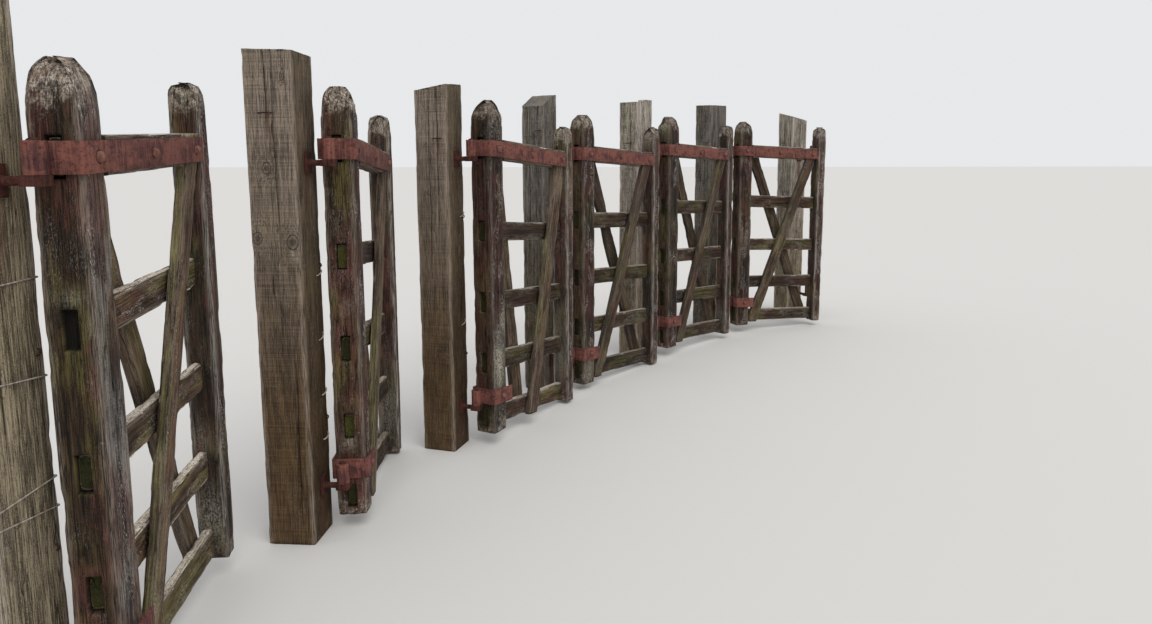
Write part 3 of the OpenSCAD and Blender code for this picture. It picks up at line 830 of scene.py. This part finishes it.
def materials():
    """Makes the row's finishes once."""
    if MATERIALS:
        return MATERIALS
    c = bpy.context.scene.gate_row_colours

    def pair(colour, share):
        """A dark that is a share of the light, and the light."""
        return part(colour, share), tuple(colour)

    look = {"crust": tuple(c.lichen), "flake": (0.46, 0.42, 0.38), "bloom": (0.52, 0.50, 0.40),
            "algae": tuple(c.algae), "scab": (0.210, 0.160, 0.122), "red": (0.098, 0.037, 0.029),
            "stain": (0.085, 0.034, 0.018), "end": (0.150, 0.125, 0.100), "end_pale": tuple(c.lichen),
            "edge": (0.19, 0.155, 0.125)}
    post_look = dict(look, edge=part(c.post, 1.25), flake=part(c.post, 1.3), end=part(c.post, 0.5),
                     end_pale=part(c.post, 1.2))
    far_look = dict(look, edge=part(c.post_far, 1.2), flake=part(c.post_far, 1.4), end=part(c.post_far, 0.5),
                    end_pale=part(c.post_far, 1.1))
    rail_look = dict(look, end=(0.050, 0.052, 0.010), end_pale=(0.085, 0.088, 0.020))
    flaky_look = dict(look, edge=(0.42, 0.38, 0.34))
    stiles = {"rings": 0.05, "green": 0.30, "black": 0.72, "red": 0.75}
    far, one = pair(c.post_far, 0.14), pair(c.post_one, 0.22)
    MATERIALS.update({
        # The posts' fronts take the darker colour: painted shade on the face turned from the light
        "post": timber_finish("Sawn post timber", pair(c.post, 0.30), pair(c.post_front, 0.16), post_look,
                              saw=0.75, rings=0.06, flake=0.25, side_flake=0.20, green=0.15, black=0.12,
                              low=(0.46, 0.35, 0.21), weights=(1.5, 0.45, 0.6, 0.9), cracks=0.22),
        "post_far": timber_finish("Grey post timber", far, far, far_look, saw=0.6, rings=0.06, flake=0.70,
                                  side_flake=0.80, green=0.25, black=0.35, low=(0.62, 0.55, 0.42),
                                  weights=(2.4, 1.3, 1.1, 2.6), cracks=0.5),
        "post_one": timber_finish("Split post timber", one, one, far_look, saw=0.1, rings=0.05, flake=0.3,
                                  side_flake=0.3, green=0.12, black=0.30, weights=(1.9, 1.3, 0.8, 1.1),
                                  cracks=0.8),
        "stile": timber_finish("Hanging stile timber", pair(c.stile, 0.10), pair(part(c.stile_front, 0.60), 0.08),
                               look, flake=0.95, side_flake=0.22, **stiles),
        "stile_grey": timber_finish("Grey hanging stile timber", pair(part(c.stile, 0.55), 0.10),
                                    pair(c.stile_grey, 0.12), look, flake=0.60, side_flake=0.16, **stiles),
        "closing": timber_finish("Closing stile timber", pair(c.closing, 0.12), pair(c.closing_front, 0.14),
                                 flaky_look, rings=0.05, flake=1.0, side_flake=0.22, green=0.35, black=0.5,
                                 red=0.7),
        "rail": timber_finish("Rail timber", pair(c.rail, 0.16), pair(c.rail, 0.16), rail_look, rings=0.10,
                              flake=0.45, side_flake=0.25, green=0.75, black=0.35, red=0.45, pale_top=0.95),
        "brace": timber_finish("Brace timber", pair(part(c.brace, 0.75), 0.2), pair(c.brace, 0.2), rail_look,
                               rings=0.10, flake=0.45, side_flake=0.2, green=0.70, black=0.35, red=0.6,
                               pale_top=0.3),
        "strap": rust_finish("Rusted straps", tuple(c.rust), part(c.rust, 1.7), (0.070, 0.028, 0.028)),
        "hook": rust_finish("Rusted hooks", (0.066, 0.019, 0.014), (0.120, 0.036, 0.024), (0.030, 0.012, 0.010), 1.6),
        "bolt": rust_finish("Rusted bolts", (0.180, 0.075, 0.055), (0.300, 0.150, 0.110), (0.100, 0.042, 0.034), 2.5),
        "wire": rust_finish("Staple wire", (0.045, 0.016, 0.010), (0.110, 0.040, 0.025), (0.025, 0.012, 0.009), 2.5),
        "pale_wire": rust_finish("Bent wire", (0.400, 0.360, 0.320), (0.520, 0.480, 0.440), (0.260, 0.200, 0.150), 2.5),
        # A near-black plate: painted shade in an empty bolt hole
        "hole": rust_finish("Empty bolt hole", (0.010, 0.006, 0.005), (0.016, 0.008, 0.006), (0.006, 0.004, 0.003)),
    })
    return MATERIALS


# Operators

def wear(kind):
    """A timber's ripple, wave and chip, from the sizes and its kind."""
    sizes = bpy.context.scene.gate_row_timber
    relief, chips, wave = WEAR[kind]
    return dict(ripple=sizes.grain_relief * relief, wave=wave, chip=sizes.chip_depth * chips)


class GATEROW_OT_posts(bpy.types.Operator):
    """Square sawn posts with their worn tops, knots and drying splits"""
    bl_idname = "gate_row.posts"
    bl_label = "Posts"

    def execute(self, context):
        sizes = context.scene.gate_row_timber
        for k in range(1, POSTS + 1):
            stock = Stock(post_place(k))
            w = post_width(k)
            splits = [(*where, sizes.split_depth * share) for *where, share in POST_SPLITS[k - 1]]
            plates = [h - PLATE_DROP + HOOK_RISES[k - 1] for h in (STRAP_Z, BAND_Z)]
            stains = [(FRONT, aside, z + up, *rest) for aside, up, *rest in PLATE_STAINS for z in plates]
            if k in STAPLES:
                (across, z), (aside, up, *rest) = STAPLES[k], STAPLE_STAIN
                stains.append((LEFT, across * w + aside, z + up, *rest))
            stock.timber((0.0, POST_H), (w / 2, w / 2), (0, hook_reach(k) + w / 2), 100 + k, POST_TONES[k - 1],
                         **wear("post"), radius=sizes.post_arris, step=0.0075, splits=splits,
                         knots=POST_KNOTS[k - 1], blooms=[RESIN_DRIP] if k == 2 else [], stains=stains,
                         cap_rings=12, limit=post_top(k))
            stock.dress("post_timber_%d" % k, "post_one" if k == 1 else "post" if k < 4 else "post_far",
                        "post_%d" % k, "posts")
        return {"FINISHED"}


def mortise_ends(face, spot, hollow):
    """The open ends of a stile's mortises."""
    return [(face, spot, z - RAIL_H / 2 + 0.002, z + RAIL_H / 2 - 0.002, RAIL_T / 2 - 0.001, hollow) for z in RAILS]


class GATEROW_OT_hanging_stiles(bpy.types.Operator):
    """Hanging stiles with decayed tapered heads and open mortise ends"""
    bl_idname = "gate_row.hanging_stiles"
    bl_label = "Hanging stiles"

    def execute(self, context):
        sizes = context.scene.gate_row_timber
        top = STRAP_Z + STILE_HEAD
        mortises = mortise_ends(LEFT, RAIL_MID - STILE_MID_Y, sizes.mortise_hollow)

        def head(along):
            t = np.clip((along - (top - HEAD_TAPER)) / HEAD_TAPER, 0, 1)
            drop, at = HEAD_BREAK
            solid = np.where(t < at, drop * t / at, drop + (1 - drop) * (t - at) / (1 - at))
            share = 1 - (1 - HEAD_FLAT) * np.maximum(solid, t ** 2.4)
            return share, share
        for k in range(1, BAYS + 1):
            stock = Stock(gate_place(k))
            stock.timber((STILE_FOOT, top), (STILE_W / 2, STILE_W / 2), (STILE_MID_X, STILE_MID_Y), 200 + k,
                         HANGING_TONES[k - 1], **wear("hanging"), narrow=head, radius=0.008,
                         crust=sizes.head_wear * 1.3, crust_run=0.13, foot_crust=0.006, recesses=mortises,
                         blooms=HANGING_BLOOMS[k - 1], cap_rings=6,
                         splits=[(FRONT, 0.01 * (k % 3 - 1), 0.4, 1.3, sizes.split_depth * 0.8)])
            stock.dress("hanging_timber_%d" % k, "stile" if k > 1 else "stile_grey", "hanging_stile_%d" % k,
                        "gate_%d" % k)
        return {"FINISHED"}


class GATEROW_OT_closing_stiles(bpy.types.Operator):
    """Closing stiles with rounded heads and flaking front edges"""
    bl_idname = "gate_row.closing_stiles"
    bl_label = "Closing stiles"

    def execute(self, context):
        sizes = context.scene.gate_row_timber
        foot = LOWER_RAILS[-1] - RAIL_H / 2 - CLOSING_STUB
        half_t = CLOSING_T / 2
        mortises = mortise_ends(RIGHT, RAIL_MID - CLOSING_MID_Y, sizes.mortise_hollow * 0.6)
        for k in range(1, BAYS + 1):
            stock = Stock(gate_place(k))
            drop = level(k, CLOSING_MID_X)
            top = STRAP_Z + CLOSING_HEAD - CLOSING_SHORT[k - 1]

            def head(along):
                up = np.clip(along - (top - CLOSING_ROUND), 0, CLOSING_ROUND)
                back = (half_t - CLOSING_ROUND + np.sqrt(CLOSING_ROUND ** 2 - up ** 2 + 1e-12)) / half_t
                side = 1 - 0.38 * np.clip((along - (top - 0.022)) / 0.022, 0, 1) ** 1.5
                return side, back
            stock.timber((foot, top), (CLOSING_W / 2, half_t), (CLOSING_MID_X, CLOSING_MID_Y), 300 + k,
                         CLOSING_TONES[k - 1], **wear("closing"), narrow=head, radius=0.007,
                         crust=sizes.head_wear * 1.1, foot_crust=0.008,
                         recesses=mortises, blooms=CLOSING_BLOOMS[k - 1], cap_rings=6, slope=lambda x: drop,
                         splits=[(FRONT, 0.006 * (k % 3 - 1), 0.3, 1.2, sizes.split_depth * 0.6)])
            stock.dress("closing_timber_%d" % k, "closing", "closing_stile_%d" % k, "gate_%d" % k)
        return {"FINISHED"}


class GATEROW_OT_rails(bpy.types.Operator):
    """Five rails to a gate, the top one thicker behind its strap"""
    bl_idname = "gate_row.rails"
    bl_label = "Rails"

    def execute(self, context):
        def shape(along):
            inside = (along > STILE_X - 0.01) & (along < CLOSING_X + 0.01)
            share = np.where(inside, 1.0, 0.93)
            return share, share
        for k in range(1, BAYS + 1):
            stock = Stock(gate_place(k))
            dice = np.random.default_rng(60 + k)
            common = dict(lie="level", slope=lambda x: level(k, x), radius=0.005, stride=0.011)
            for number, z in enumerate(RAILS):
                # The second mortise of the first gate stands open, its tenon rotted well back
                start = PIN_GAP + TENON_RECESS + (0.030 if (k, number) == (1, 1) else dice.uniform(0.004, 0.014))
                tone = dice.uniform(1.0, 1.4) if k == 1 else dice.uniform(0.30, 0.75)
                # Each rail's end takes its share: below 1 it is painted shade in the mortise
                stock.timber((start, GATE_END - TENON_RECESS - 0.002), (RAIL_T / 2, RAIL_H / 2), (RAIL_MID, z),
                             400 + 10 * k + number, tone, **wear("rail"), narrow=shape, **common,
                             blooms=[RAIL_BLOOM] if (k, number) in PALE_RAILS else [],
                             end_shade=TENON_SHADES.get(k, (0.4,) * len(RAILS))[number])
            stock.timber((STILE_X + 0.001, CLOSING_X - BRACE_RUN - 0.045), ((RAIL_Y - FRONT_Y) / 2, RAIL_H / 2),
                         ((RAIL_Y + FRONT_Y) / 2, TOP_RAIL), 470 + k, FILLER_TONE, **wear("filler"), **common)
            stock.dress("rail_timbers_%d" % k, "rail", "rails_%d" % k, "gate_%d" % k)
        return {"FINISHED"}


class GATEROW_OT_braces(bpy.types.Operator):
    """Crossed braces, one before the rails and one behind them"""
    bl_idname = "gate_row.braces"
    bl_label = "Braces"

    def execute(self, context):
        ends = (LOWER_RAILS[-1] - RAIL_H / 2 + 0.001, TOP_RAIL + RAIL_H / 2 - 0.001)
        near, far = STILE_X + BRACE_RUN / 2, CLOSING_X - BRACE_RUN / 2
        thick = RAIL_Y - FRONT_Y

        def trim(p, lumps):
            p[..., 0] = np.clip(p[..., 0], STILE_X + 0.0005, CLOSING_X - 0.0005)
            return p
        for k in range(1, BAYS + 1):
            stock = Stock(gate_place(k))
            feet = [near + share * (far - near) for share in BRACE_FEET[k - 1]]
            for number, (x0, x1, y) in enumerate(((feet[0], far, FRONT_Y + thick / 2),
                                                  (feet[1], near, PIN_BACK - thick / 2))):
                def line(along):
                    t = (along - LOWER_RAILS[-1]) / (STRAP_Z - LOWER_RAILS[-1])
                    return x0 + t * (x1 - x0), y
                # The back brace, behind the rails, is darkened as painted shade
                stock.timber(ends, (BRACE_RUN / 2, thick / 2), line, 500 + 10 * k + number,
                             BRACE_TONES[k - 1] - BACK_BRACE_SHADE * number, **wear("brace"), limit=trim,
                             slope=lambda x: level(k, x))
            stock.dress("brace_timbers_%d" % k, "brace", "braces_%d" % k, "gate_%d" % k)
        return {"FINISHED"}


class GATEROW_OT_irons(bpy.types.Operator):
    """Straps, bands and hooks with worn edges and rust"""
    bl_idname = "gate_row.irons"
    bl_label = "Straps and hooks"

    def execute(self, context):
        edge = context.scene.gate_row_iron.edge_round
        for k in range(1, BAYS + 1):
            iron_copy("irons_%d" % k, "strap_irons_%d" % k, "strap", "gate_%d" % k, edge)
        for k in range(1, POSTS + 1):
            iron_copy("hooks_%d" % k, "hook_irons_%d" % k, "hook", "posts", edge)
        return {"FINISHED"}


class GATEROW_OT_bolts(bpy.types.Operator):
    """Domed bolts through the straps, with square nuts behind"""
    bl_idname = "gate_row.bolts"
    bl_label = "Bolts and nuts"

    def execute(self, context):
        sizes = context.scene.gate_row_iron
        dome, nut, shadow_ring, hole = (fastening_tree(name, kind, materials()[finish]) for name, kind, finish in (
            ("Bolt heads", "dome", "bolt"), ("Bolt nuts", "nut", "bolt"), ("Bolt seats", "dome", "hook"),
            ("Bolt holes", "hole", "hole")))
        dice = np.random.default_rng(11)
        second, third = STRAP_BOLTS
        leaf_back, rail_back = PIN_BACK + IRON_T + 0.002, RAIL_BACK + 0.003
        for k in range(1, BAYS + 1):
            place = gate_place(k)
            turn = math.radians(line_dir(k) - SWINGS[k - 1])
            front = Vector((math.sin(turn), -math.cos(turn), 0))

            def at(x, y, z):
                return place((x, y, z + level(k, x)))

            def fix(name, tree, spots, width, rise):
                fasten("%s_%d" % (name, k), tree, spots, "gate_%d" % k, "strap_iron", width, rise)
            heads = [(STILE_MID_X, STRAP_Z), (second, STRAP_Z), (third, STRAP_Z), (STILE_MID_X + 0.006, BAND_Z)]
            if k == MISSING_BOLT:
                # The first bolt is gone, its square hole a near-black plate of painted shade, and the second is a
                # square bolt
                fix("bolt_hole_shade", hole, [(at(STILE_MID_X, CLOSING_FRONT - 0.0001, STRAP_Z), front, 0.1)], *HOLE_SHADE_SIZE)
                fix("square_bolt", nut, [(at(second, CLOSING_FRONT - 0.004, STRAP_Z), front, 0.2)], *SQUARE_SIZE)
                heads = heads[2:]
            fronts = [(at(x, CLOSING_FRONT, z), front, dice.uniform(0, 3)) for x, z in heads]
            # A dark disc a little wider than each head: painted shadow round the bolt heads
            fix("bolt_shadow_rings", shadow_ring, fronts, sizes.bolt_width + SHADOW_RING_RIM, SHADOW_RING_RISE)
            fix("bolt_heads", dome, fronts, sizes.bolt_width, sizes.bolt_rise)
            if k == SPARE_BOLT:
                fix("spare_bolt", dome, [(at(SPARE_BOLT_X, CLOSING_FRONT, STRAP_Z + 0.012), front, 0)], *SPARE_SIZE)
            backs = [(at(x, y, z), -front, dice.uniform(-0.3, 0.3)) for x, y, z in (
                (STILE_MID_X, leaf_back, STRAP_Z), (second, rail_back, STRAP_Z - 0.006),
                (third, rail_back, STRAP_Z - 0.006), (STILE_MID_X, leaf_back, BAND_Z))]
            fix("bolt_nuts", nut, backs, sizes.nut_width, NUT_RISE)
        return {"FINISHED"}


class GATEROW_OT_staples(bpy.types.Operator):
    """Fence staples and old wire left on the posts"""
    bl_idname = "gate_row.staples"
    bl_label = "Staples"

    def execute(self, context):
        sizes = context.scene.gate_row_iron
        width, wire = sizes.staple_width, sizes.staple_wire
        rusty = fastening_tree("Staple wires", "staple", materials()["wire"])
        pale = fastening_tree("Bent wires", "staple", materials()["pale_wire"])
        dice = np.random.default_rng(23)
        staples, bent, edge = [], [], []
        for k in range(1, POSTS + 1):
            place = post_place(k)
            turn = math.radians(line_dir(k) + TWISTS[k - 1])
            left = Vector((-math.cos(turn), -math.sin(turn), 0))
            front = Vector((math.sin(turn), -math.cos(turn), 0))
            w = post_width(k)
            front_y = hook_reach(k) + 0.003
            if k in STAPLES:
                across, z = STAPLES[k]
                spot = place((0.004 - w / 2, hook_reach(k) + w / 2 + across * w, z))
                staples.append((spot, left, dice.uniform(-0.10, 0.10)))
            # Ends of old fence wire, bent over along the far edge of the front
            for z in WIRE_ENDS.get(k, ()):
                spot = place((w / 2 - 0.034 + dice.uniform(-0.006, 0.006), front_y, z))
                bent.append((spot, front, 0.5 + dice.uniform(-0.15, 0.2)))
            for n in range(2):
                spot = place((w / 2 - 0.022, front_y, 0.45 + 0.6 * n + dice.uniform(-0.1, 0.1)))
                edge.append((spot, front, math.pi / 2 + dice.uniform(-0.5, 0.5)))
        fasten("face_staples", rusty, staples, "posts", "hook_iron", width, STAPLE_RISE, wire)
        fasten("bent_wires", pale, bent, "posts", "hook_iron", width * BENT_SHARE, BENT_RISE, wire)
        half = post_width(1) / 2
        ring = section(half, half, 0.006, 0.03, [])[0]
        loops = [post_place(1)(np.stack([ring[:, 0], ring[:, 1] + hook_reach(1) + half,
                                         z + lean * ring[:, 0] + fall * ring[:, 1]], -1))
                 for z, lean, fall in WIRE_TURNS]
        wrap("wrapped_wires", loops, TURN_WIRE, materials()["pale_wire"], "posts", "hook_iron")
        fasten("edge_staples", rusty, edge, "posts", "hook_iron", *EDGE_STAPLE, wire)
        return {"FINISHED"}


class GATEROW_OT_stage(bpy.types.Operator):
    """Pale floor, soft light and the camera"""
    bl_idname = "gate_row.stage"
    bl_label = "Floor, light and camera"

    def execute(self, context):
        sizes, scene = context.scene.gate_row_stage, context.scene
        reach = sizes.floor_reach
        mesh = bpy.data.meshes.new("floor")
        mesh.from_pydata([(-reach, -reach, 0), (reach, -reach, 0), (reach, reach, 0), (-reach, reach, 0)], [],
                         [(0, 1, 2, 3)])
        paint = bpy.data.materials.new("Pale floor")
        paint.use_nodes = True
        shader = paint.node_tree.nodes["Principled BSDF"].inputs
        shader["Base Color"].default_value = FLOOR_PAINT
        shader["Roughness"].default_value = 0.95
        shader["Specular IOR Level"].default_value = 0.0
        mesh.materials.append(paint)
        add_object("floor", mesh)

        # The camera and mirrored rays see a pale backdrop, and the rest an even light
        scene.world = bpy.data.worlds.new("Even daylight")
        scene.world.use_nodes = True
        t = Nodes(scene.world.node_tree)
        t.tree.nodes.clear()
        path = t.node("ShaderNodeLightPath").outputs
        direct = t.math("MAXIMUM", path["Is Camera Ray"], path["Is Glossy Ray"])
        direct = t.math("MAXIMUM", direct, path["Is Transmission Ray"])
        light = t.out("ShaderNodeBackground", (0, DAYLIGHT_TINT), (1, sizes.daylight))
        seen = t.out("ShaderNodeBackground", (0, BACKDROP), (1, 1.0))
        t.node("ShaderNodeOutputWorld", (0, t.out("ShaderNodeMixShader", (0, direct), (1, light), (2, seen))))
        lamp = bpy.data.lights.new("Soft lamp", "SUN")
        lamp.energy, lamp.angle, lamp.color = sizes.lamp, math.radians(LAMP_SPREAD), LAMP_TINT
        sun = add_object("Soft lamp", lamp)
        sun.rotation_euler = Vector(LAMP_FROM).to_track_quat("Z", "Y").to_euler()

        pitch, yaw, roll = (math.radians(v) for v in PITCH_YAW_ROLL)
        look = Vector((math.cos(yaw) * math.cos(pitch), math.sin(yaw) * math.cos(pitch), -math.sin(pitch)))
        right = Vector((math.sin(yaw), -math.cos(yaw), 0))
        up = right.cross(look)
        right, up = math.cos(roll) * right + math.sin(roll) * up, math.cos(roll) * up - math.sin(roll) * right
        camera = bpy.data.cameras.new("Camera")
        camera.sensor_width, camera.lens = SENSOR, FOCAL_LENGTH / IMAGE_W * SENSOR
        camera.shift_y = (LEVEL_ROW - IMAGE_H / 2) / IMAGE_W
        camera.clip_start, camera.clip_end = 0.05, 400
        eye = add_object("Camera", camera)
        x, y = pin_at(1)
        turned = Matrix((right, up, -look)).transposed().to_4x4()
        eye.matrix_world = Matrix.Translation((x + EYE[0], y + EYE[1], EYE[2])) @ turned
        scene.camera = eye
        scene.view_settings.view_transform = "Standard"
        return {"FINISHED"}


class GATEROW_PT_panel(bpy.types.Panel):
    """Lists the row's steps and its sizes"""
    bl_label = "Gate Row"
    bl_idname = "GATEROW_PT_panel"
    bl_space_type = "VIEW_3D"
    bl_region_type = "UI"
    bl_category = "Gate Row"

    def draw(self, context):
        for operator in OPERATORS:
            self.layout.operator(operator.bl_idname)
        for group in GROUPS:
            values = getattr(context.scene, group)
            for name in values.__annotations__:
                self.layout.prop(values, name)


OPERATORS = [GATEROW_OT_stage, GATEROW_OT_posts, GATEROW_OT_hanging_stiles, GATEROW_OT_closing_stiles,
             GATEROW_OT_rails, GATEROW_OT_braces, GATEROW_OT_irons, GATEROW_OT_bolts, GATEROW_OT_staples]
GROUPS = {"gate_row_timber": GateRowTimberSizes, "gate_row_iron": GateRowIronSizes,
          "gate_row_colours": GateRowColours, "gate_row_stage": GateRowStageSizes}


def register():
    for group, kind in GROUPS.items():
        bpy.utils.register_class(kind)
        setattr(bpy.types.Scene, group, PointerProperty(type=kind))
    for kind in OPERATORS + [GATEROW_PT_panel]:
        bpy.utils.register_class(kind)


def unregister():
    for kind in reversed(OPERATORS + [GATEROW_PT_panel]):
        bpy.utils.unregister_class(kind)
    for group, kind in GROUPS.items():
        delattr(bpy.types.Scene, group)
        bpy.utils.unregister_class(kind)


def main():
    register()
    for operator in OPERATORS:
        group, name = operator.bl_idname.split(".")
        getattr(getattr(bpy.ops, group), name)()


if __name__ == "__main__":
    main()
